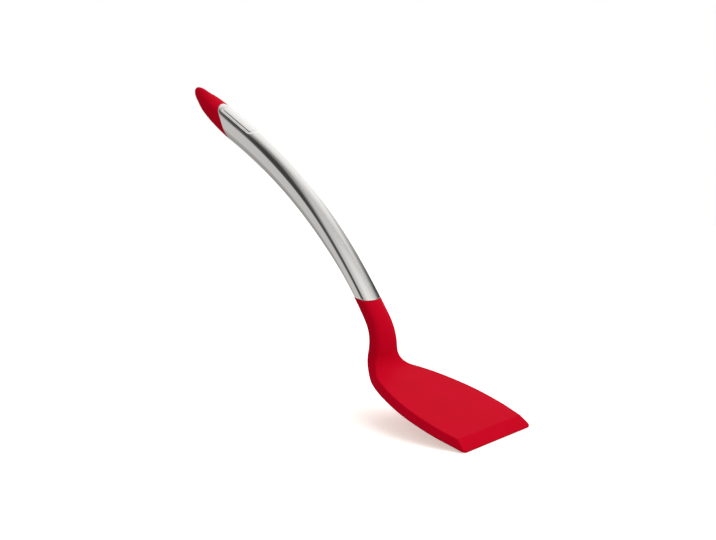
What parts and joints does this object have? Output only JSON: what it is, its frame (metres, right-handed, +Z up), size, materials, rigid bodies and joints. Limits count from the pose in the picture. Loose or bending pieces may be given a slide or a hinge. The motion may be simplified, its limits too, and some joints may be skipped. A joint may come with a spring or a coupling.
{
  "type": "spatula turner",
  "caption": "Kitchen turner with a broad bevelled silicone blade, a steeply cranked neck, an arched hollow steel handle with slanted ends and a tapered silicone tail.",
  "frame": {"origin": "on the floor, under the middle of the bounding box, with the front edge of the blade touching the floor", "axes": "+X out over the blade's front edge, +Y across the blade, +Z up; the blade leans nose-down as pictured"},
  "size_m": [0.2776, 0.0794, 0.2115],
  "materials": {
    "steel": "brushed along the handle, polished at the cut rims",
    "silicone": "satin red",
    "nylon": "moulded, hidden inside"
  },
  "bodies": {
    "root": {"handle_tube": "steel", "blade_core": "nylon", "blade_skin": "silicone", "beak_core": "nylon", "beak_skin": "silicone"}
  },
  "joints": []
}
